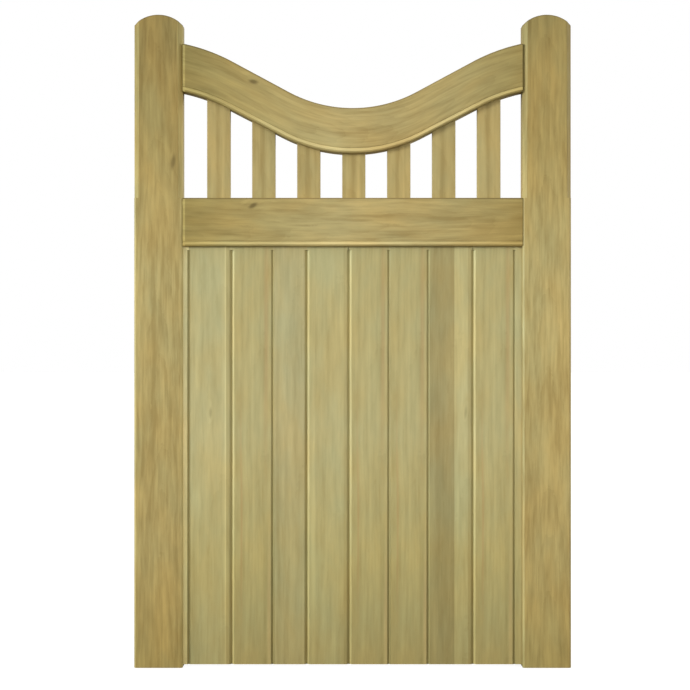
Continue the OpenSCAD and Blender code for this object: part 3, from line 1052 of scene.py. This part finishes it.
bm = copy_of("brace")
slope = Vector((2 * OPENING, 0, MIDDLE_Z - BOTTOM_Z - BOTTOM_DEPTH)).normalized()
ease(bm, arrises(bm, slope, longest=300), BACK_ARRIS_R)
across = slope.cross(Y)
lay_grain(bm, "brace", across, slope, centre=Z * (MIDDLE_Z + BOTTOM_Z + BOTTOM_DEPTH) / 2 * MM)
finish_timber("brace_timber", bm, back_wood, "frame_timber", "brace")
print("bottom rail and brace")

# %% [markdown]
# ## Wedges
# A pair of wedges locks every tenon from the outside. They are small and seen only on the
# gate's edges, where their darker end grain shows against the stile.

# %% Wedges
for rail in ("top", "middle", "bottom"):
    for side in ("left", "right"):
        for end in ("lower", "upper"):
            node = "_".join((rail, "wedge", side, end))
            bm = copy_of(node)
            ease(bm, arrises(bm), 0.4, 1)
            low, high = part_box(node)
            lay_grain(bm, "wedge", Z, X, centre=(low + high) / 2)
            finish_timber(node + "_timber", bm, wedge_wood, "wedge_timber", node)
print("12 wedges")

# %% [markdown]
# ## Screws
# Countersunk wood screws, zinc plated and dulled outdoors, hold the boards from behind. A
# square grid drawn in to a circle makes the head, which leaves a cross of faces in its
# middle. A copy of the cross is drawn in and sunk as the driver's recess; the cross itself
# stays, and lies over the recess as a cover with no thickness.


# %% Zinc plate
SPECKLES_PER_METRE = 900


def zinc_plate():
    """Bright zinc that has gone dull: a patchy grey metal with a fine speckle."""
    made = bpy.data.materials.new("zinc_plated_steel")
    made.use_nodes = True
    tree = made.node_tree
    surface = tree.nodes["Principled BSDF"]
    surface.inputs["Metallic"].default_value = 1.0
    place = add(tree, "ShaderNodeTexCoord").outputs["Object"]
    spots = {"Vector": place, "Scale": SPECKLES_PER_METRE, "Detail": 3}
    speckle = add(tree, "ShaderNodeTexNoise", spots)
    colour = fill_ramp(
        add(tree, "ShaderNodeValToRGB", {"Fac": speckle.outputs["Fac"]}),
        [(0.35, "#8d8f8c"), (0.65, "#c4c5c0")],
    )
    tree.links.new(colour.outputs["Color"], surface.inputs["Base Color"])
    ranges = {"From Min": 0.3, "From Max": 0.7, "To Min": 0.32, "To Max": 0.5}
    rough = add(tree, "ShaderNodeMapRange", {"Value": speckle.outputs["Fac"], **ranges})
    tree.links.new(rough.outputs[0], surface.inputs["Roughness"])
    return made


zinc = zinc_plate()
print(zinc.name, "has", len(zinc.node_tree.nodes), "nodes")

# %% One screw
SCREW_HEAD_R, SCREW_HEAD_L, SCREW_R, SCREW_L, POINT_L, POINT_R = 4, 2.5, 2, 30, 5, 0.15
HEAD_GRID = 7
# The cross: half its width and its reach, to the middles of its faces, and its depth
CROSS_HALF_W, CROSS_REACH, CROSS_DEPTH, CROSS_TAPER = 0.4, 2.6, 1.4, 0.7


def screw_mesh():
    """One screw with its head's face on y = 0, pointing towards -Y."""
    bm = bmesh.new()
    bmesh.ops.create_grid(bm, x_segments=HEAD_GRID, y_segments=HEAD_GRID, size=1)
    for v in bm.verts:
        u, w = v.co.x, v.co.y
        v.co.x = u * math.sqrt(1 - w * w / 2) * SCREW_HEAD_R * MM
        v.co.y = w * math.sqrt(1 - u * u / 2) * SCREW_HEAD_R * MM
    cross = []
    for face in bm.faces:
        middle = face.calc_center_median() / MM
        near, far = sorted((abs(middle.x), abs(middle.y)))
        if near < CROSS_HALF_W and far < CROSS_REACH:
            cross.append(face)
    sunk = bmesh.ops.extrude_face_region(bm, geom=cross)["geom"]
    sunk = [v for v in sunk if isinstance(v, bmesh.types.BMVert)]
    bmesh.ops.translate(bm, verts=sunk, vec=(0, 0, -CROSS_DEPTH * MM))
    bmesh.ops.scale(bm, verts=sunk, vec=(CROSS_TAPER, CROSS_TAPER, 1))
    rim = [e for e in bm.edges if e.is_boundary]
    shank = ((SCREW_R, SCREW_HEAD_L), (SCREW_R, SCREW_L - POINT_L), (POINT_R, SCREW_L))
    for radius, down in shank:
        grown = bmesh.ops.extrude_edge_only(bm, edges=rim)["geom"]
        rim = [e for e in grown if isinstance(e, bmesh.types.BMEdge)]
        for v in {v for e in rim for v in e.verts}:
            flat = Vector((v.co.x, v.co.y, 0)).normalized() * radius * MM
            v.co = Vector((flat.x, flat.y, -down * MM))
    bmesh.ops.contextual_create(bm, geom=rim)
    bmesh.ops.rotate(bm, verts=bm.verts, matrix=Matrix.Rotation(math.radians(-90), 3, "X"))
    mesh = bpy.data.meshes.new("screw")
    bm.to_mesh(mesh)
    bm.free()
    return mesh


screw = screw_mesh()
print("a screw has", len(screw.polygons), "faces")

# %% Rows of screws
# Heights of the two rows above the bottom rail's lower edge, the turn from one screw to the
# next in radians, and how far the heads stand proud
ROW_INSETS, TURN_STEP, HEAD_PROUD = (30, 90), 0.9, 0.1
joint_x = [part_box("board_%d" % n)[0].x / MM for n in range(2, len(BOARDS) + 1)]
screw_x = [(a + b) / 2 for a, b in zip(joint_x, joint_x[1:])]
brace_z = [BOTTOM_Z + BOTTOM_DEPTH + (x + OPENING) * slope.z / slope.x for x in screw_x]
rows = {
    "bottom_rail_screws": [(x, BOTTOM_Z + inset) for x in screw_x for inset in ROW_INSETS],
    "brace_screws": list(zip(screw_x, brace_z)),
}
for node, places in rows.items():
    bm = bmesh.new()
    for i, (x, z) in enumerate(places):
        before = len(bm.verts)
        bm.from_mesh(screw)
        bm.verts.ensure_lookup_table()
        new = bm.verts[before:]
        bmesh.ops.rotate(bm, verts=new, matrix=Matrix.Rotation(i * TURN_STEP, 3, "Y"))
        bmesh.ops.translate(bm, verts=new, vec=Vector((x, HALF_T + HEAD_PROUD, z)) * MM)
    finish_timber(node + "_plated", bm, zinc, "screw_steel", node)
    print(node, len(places))
bpy.data.meshes.remove(screw)
